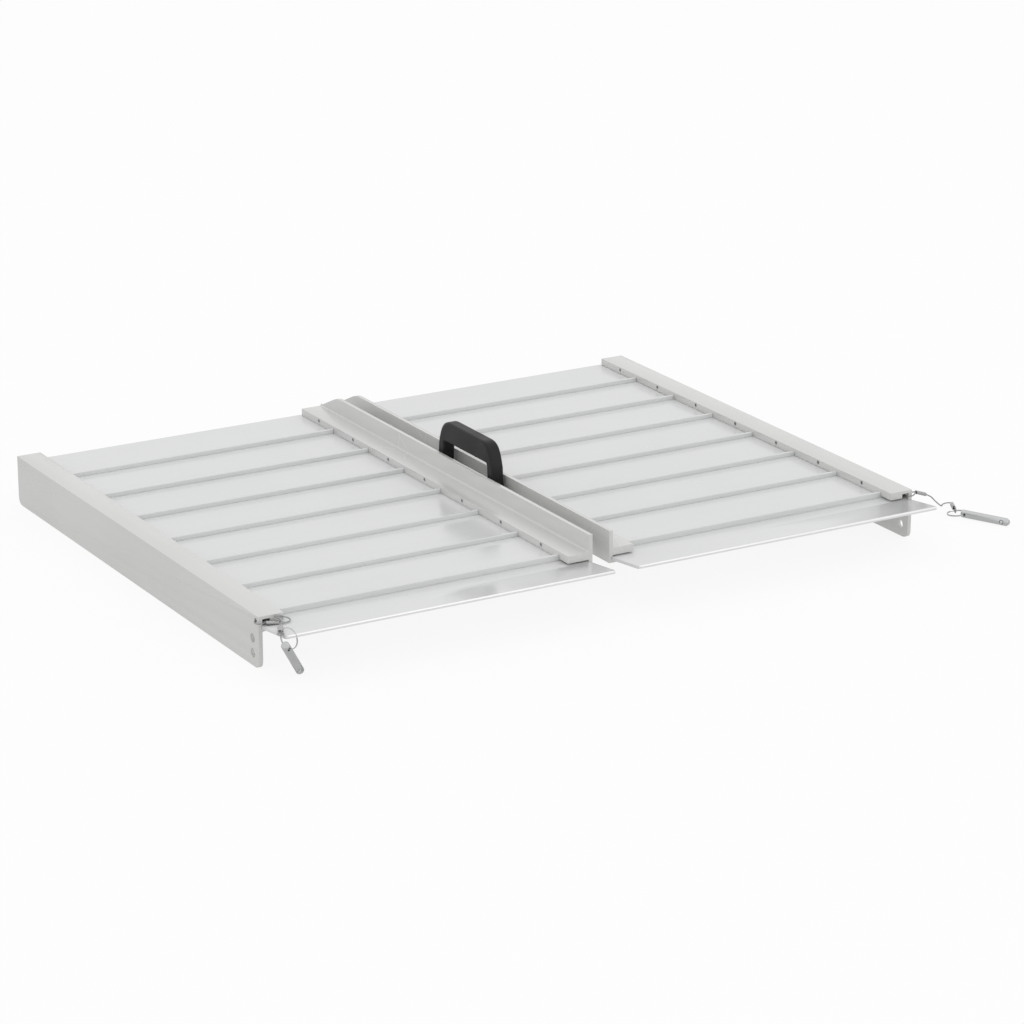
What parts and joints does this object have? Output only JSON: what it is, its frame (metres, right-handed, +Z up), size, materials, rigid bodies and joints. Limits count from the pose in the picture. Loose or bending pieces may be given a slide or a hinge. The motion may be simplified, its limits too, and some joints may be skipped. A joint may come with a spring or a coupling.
{
  "type": "portable wheelchair ramp",
  "caption": "Short folding aluminium wheelchair ramp with raised side curbs, a hinged middle, a carrying handle and tethered lock pins.",
  "frame": {"origin": "on the floor, at the middle of the ramp's outline in plan, where it lies open with its underside up on its two side curbs", "axes": "+X across the ramp towards its right side panel, +Y along the ramp away from the entry lips, +Z up; the running face points down, to -Z"},
  "size_m": [0.8552, 0.6256, 0.104],
  "materials": {
    "rail_aluminium": "extruded mill aluminium, satin, pale grey",
    "deck_aluminium": "bright smooth aluminium with soft reflections",
    "hinge_aluminium": "extruded mill aluminium, satin",
    "hinge_hardware": "zinc plated steel",
    "handle_plastic": "black moulded plastic, satin",
    "pin_steel": "bright plated steel, lightly worn",
    "ring_steel": "bright steel wire",
    "ferrule_metal": "pressed soft aluminium",
    "cable_steel": "thin stranded steel wire"
  },
  "bodies": {
    "spine": {"hinge_spine": "hinge_aluminium", "handle": "handle_plastic", "handle_insert_1": "hinge_hardware", "handle_insert_2": "hinge_hardware", "handle_screw_1": "hinge_hardware", "handle_screw_2": "hinge_hardware", "left_hinge_pin": "hinge_hardware", "right_hinge_pin": "hinge_hardware"},
    "left_panel": {"left_outer_rail": "rail_aluminium", "left_centre_rail": "rail_aluminium", "left_plank_1": "deck_aluminium", "left_plank_2": "deck_aluminium", "left_plank_3": "deck_aluminium", "left_plank_4": "deck_aluminium", "left_plank_5": "deck_aluminium", "left_plank_6": "deck_aluminium", "left_plank_7": "deck_aluminium", "left_lip": "deck_aluminium", "left_hinge_leaf": "hinge_aluminium", "left_lanyard_cable": "cable_steel", "left_ferrule_1": "ferrule_metal", "left_ferrule_2": "ferrule_metal", "left_pin_ring": "ring_steel", "left_lock_pin": "pin_steel", "left_pin_spring": "ring_steel"},
    "right_panel": {"right_outer_rail": "rail_aluminium", "right_centre_rail": "rail_aluminium", "right_plank_1": "deck_aluminium", "right_plank_2": "deck_aluminium", "right_plank_3": "deck_aluminium", "right_plank_4": "deck_aluminium", "right_plank_5": "deck_aluminium", "right_plank_6": "deck_aluminium", "right_plank_7": "deck_aluminium", "right_lip": "deck_aluminium", "right_hinge_leaf": "hinge_aluminium", "right_lanyard_cable": "cable_steel", "right_ferrule_1": "ferrule_metal", "right_ferrule_2": "ferrule_metal", "right_pin_ring": "ring_steel", "right_lock_pin": "pin_steel", "right_pin_spring": "ring_steel"},
    "left_ball": {"left_pin_ball": "pin_steel"},
    "right_ball": {"right_pin_ball": "pin_steel"}
  },
  "joints": [
    {"name": "left_fold", "type": "hinge", "parent": "spine", "child": "left_panel", "pos_m": [-0.005, 0, 0.041], "axis": [0, -1, 0], "range_deg": [0, 84]},
    {"name": "right_fold", "type": "hinge", "parent": "spine", "child": "right_panel", "pos_m": [0.005, 0, 0.041], "axis": [0, 1, 0], "range_deg": [0, 84]},
    {"name": "left_ball_press", "type": "slide", "parent": "left_panel", "child": "left_ball", "axis": [-0.1371, -0.7931, -0.5935], "range_m": [-0.0011, 0], "stiffness_N_per_m": 400, "springref_m": 0.0005},
    {"name": "right_ball_press", "type": "slide", "parent": "right_panel", "child": "right_ball", "axis": [-0.899, -0.438, 0], "range_m": [-0.0011, 0], "stiffness_N_per_m": 400, "springref_m": 0.0005}
  ]
}
